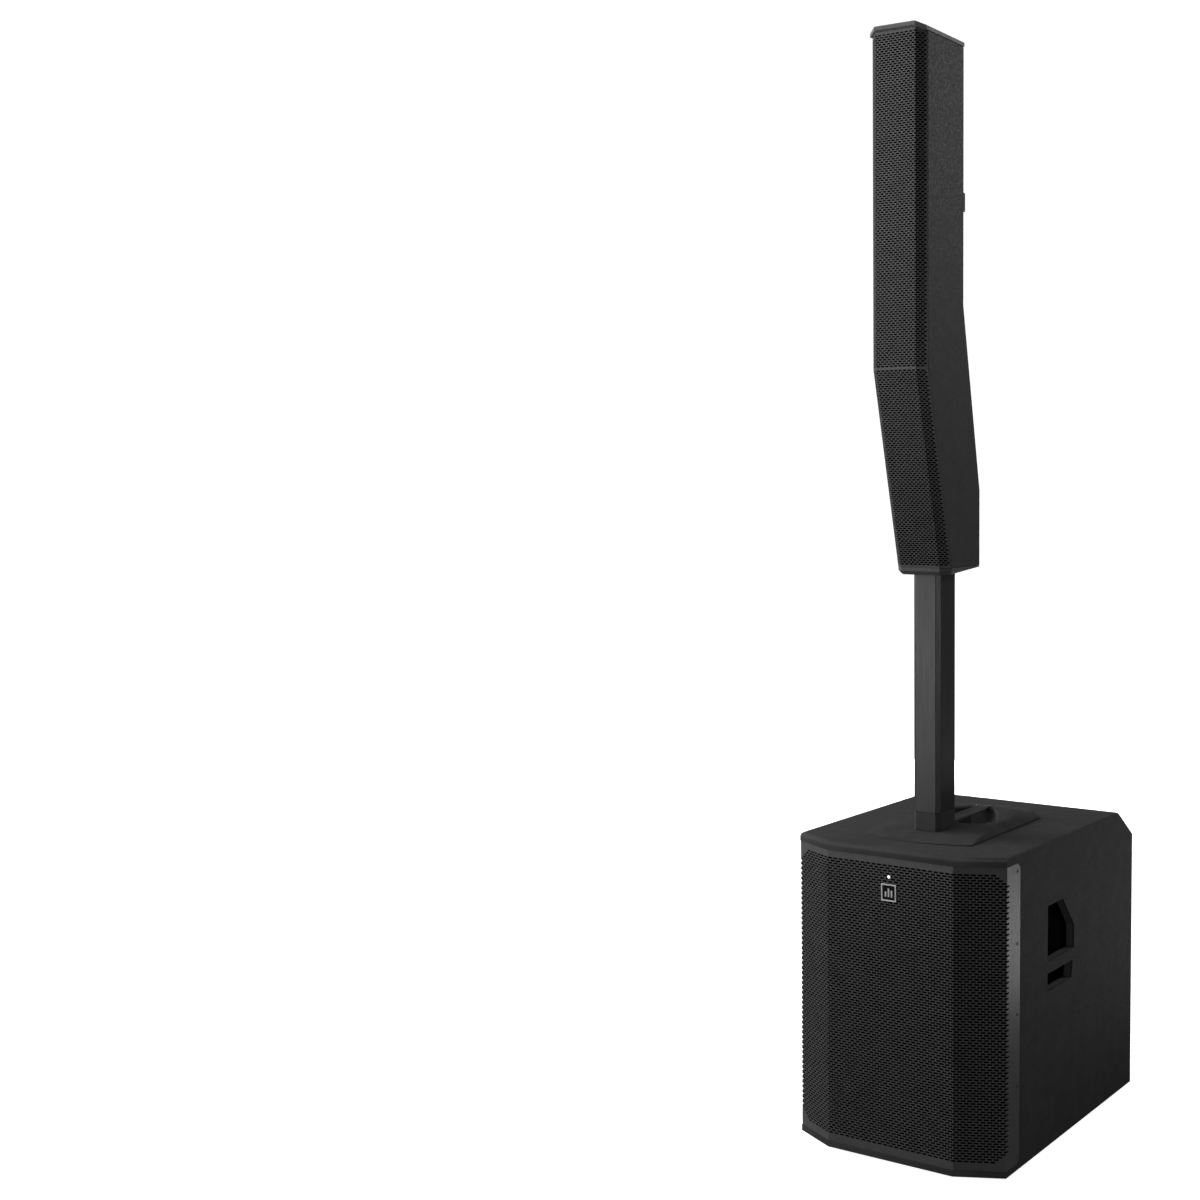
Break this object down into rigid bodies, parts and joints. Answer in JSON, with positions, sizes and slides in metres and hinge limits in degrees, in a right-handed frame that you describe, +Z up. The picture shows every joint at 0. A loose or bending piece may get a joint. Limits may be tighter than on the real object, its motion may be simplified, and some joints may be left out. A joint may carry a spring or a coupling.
{
  "type": "column pa system",
  "caption": "Portable column PA: black bass cabinet with a perforated wrap-round grille, a square pole and a slim two-angle loudspeaker column.",
  "frame": {"origin": "on the floor, under the middle of the bass cabinet's outline", "axes": "+Z up, -Y to the front (the grille side), +X to the viewer's right from the front"},
  "size_m": [0.43, 0.565, 1.9877],
  "materials": {
    "coated_plywood": "textured black paint on plywood",
    "bare_plywood": "unfinished plywood",
    "black_steel": "black powder coat on perforated steel",
    "black_aluminium": "matte black coating on aluminium",
    "bare_aluminium": "plain",
    "moulded_plastic": "fine texture",
    "black_rubber": "matte",
    "cone_paper": "matte black pressed paper",
    "ferrite": "ferrite ring between steel plates",
    "lit_white": "lit white lens",
    "badge_metal": "polished plate",
    "dark_glass": "dark display window",
    "contact_plastic": "contact block with plated pins",
    "circuit_board": "green circuit board"
  },
  "bodies": {
    "bass_cabinet": {"top_board": "coated_plywood", "bottom_board": "coated_plywood", "left_side_board": "coated_plywood", "right_side_board": "coated_plywood", "back_board": "coated_plywood", "rear_sloping_board": "coated_plywood", "front_baffle": "bare_plywood", "internal_brace": "bare_plywood", "left_handle_cup": "moulded_plastic", "right_handle_cup": "moulded_plastic", "left_port_tube": "moulded_plastic", "right_port_tube": "moulded_plastic", "top_handle": "moulded_plastic", "combo_jack_1": "moulded_plastic", "combo_jack_2": "moulded_plastic", "link_jack": "moulded_plastic", "power_inlet": "moulded_plastic", "front_left_foot": "black_rubber", "front_right_foot": "black_rubber", "rear_left_foot": "black_rubber", "rear_right_foot": "black_rubber", "woofer_surround": "black_rubber", "bass_grille": "black_steel", "woofer_frame": "black_aluminium", "pole_mount_plate": "moulded_plastic", "amplifier_panel": "black_aluminium", "heat_sink": "black_aluminium", "amplifier_chassis": "bare_aluminium", "woofer_magnet": "ferrite", "socket_contacts": "contact_plastic", "status_light": "lit_white", "badge": "badge_metal", "display_window": "dark_glass", "amplifier_board": "circuit_board"},
    "pole": {"pole_tube": "black_aluminium", "pole_foot": "moulded_plastic", "pole_head": "moulded_plastic"},
    "column": {"column_housing": "moulded_plastic", "column_top_cap": "moulded_plastic", "column_foot_plate": "moulded_plastic", "column_grille": "black_steel", "column_baffle": "moulded_plastic", "lifting_handle": "moulded_plastic", "crossover_board": "circuit_board", "column_driver_1": "cone_paper", "column_driver_2": "cone_paper", "column_driver_3": "cone_paper", "column_driver_4": "cone_paper", "column_driver_5": "cone_paper", "column_driver_6": "cone_paper", "column_driver_7": "cone_paper", "column_driver_8": "cone_paper"},
    "woofer_cone": {"woofer_cone": "cone_paper"},
    "encoder_press": {"encoder_shaft": "bare_aluminium"},
    "encoder_turn": {"encoder_knob": "moulded_plastic"},
    "level_knob_1": {"level_knob_1": "moulded_plastic"},
    "level_knob_2": {"level_knob_2": "moulded_plastic"},
    "latch_tab_1": {"latch_tab_1": "bare_aluminium"},
    "latch_tab_2": {"latch_tab_2": "bare_aluminium"},
    "power_rocker": {"power_rocker": "moulded_plastic"}
  },
  "joints": [
    {"name": "pole_lift", "type": "slide", "parent": "bass_cabinet", "child": "pole", "axis": [0, 0, 1], "range_m": [0, 0.06]},
    {"name": "column_lift", "type": "slide", "parent": "pole", "child": "column", "axis": [0, 0, 1], "range_m": [0, 0.06]},
    {"name": "woofer_travel", "type": "slide", "parent": "bass_cabinet", "child": "woofer_cone", "axis": [0, 1, 0], "range_m": [-0.005, 0.005], "stiffness_N_per_m": 2500},
    {"name": "encoder_push", "type": "slide", "parent": "bass_cabinet", "child": "encoder_press", "axis": [0, -1, 0], "range_m": [0, 0.0005], "stiffness_N_per_m": 1500, "springref_m": -0.0005},
    {"name": "encoder_spin", "type": "hinge", "parent": "encoder_press", "child": "encoder_turn", "pos_m": [0.04, 0.2675, 0.413], "axis": [0, 1, 0], "continuous": true},
    {"name": "level_turn_1", "type": "hinge", "parent": "bass_cabinet", "child": "level_knob_1", "pos_m": [-0.084, 0.2675, 0.372], "axis": [0, 1, 0], "range_deg": [-150, 150]},
    {"name": "level_turn_2", "type": "hinge", "parent": "bass_cabinet", "child": "level_knob_2", "pos_m": [-0.028, 0.2675, 0.372], "axis": [0, 1, 0], "range_deg": [-150, 150]},
    {"name": "latch_press_1", "type": "slide", "parent": "bass_cabinet", "child": "latch_tab_1", "axis": [0, 0, -1], "range_m": [0, 0.0018], "stiffness_N_per_m": 300, "springref_m": -0.001},
    {"name": "latch_press_2", "type": "slide", "parent": "bass_cabinet", "child": "latch_tab_2", "axis": [0, 0, -1], "range_m": [0, 0.0018], "stiffness_N_per_m": 300, "springref_m": -0.001},
    {"name": "power_switch", "type": "hinge", "parent": "bass_cabinet", "child": "power_rocker", "pos_m": [-0.02, 0.2675, 0.17], "axis": [1, 0, 0], "range_deg": [0, 21]}
  ]
}
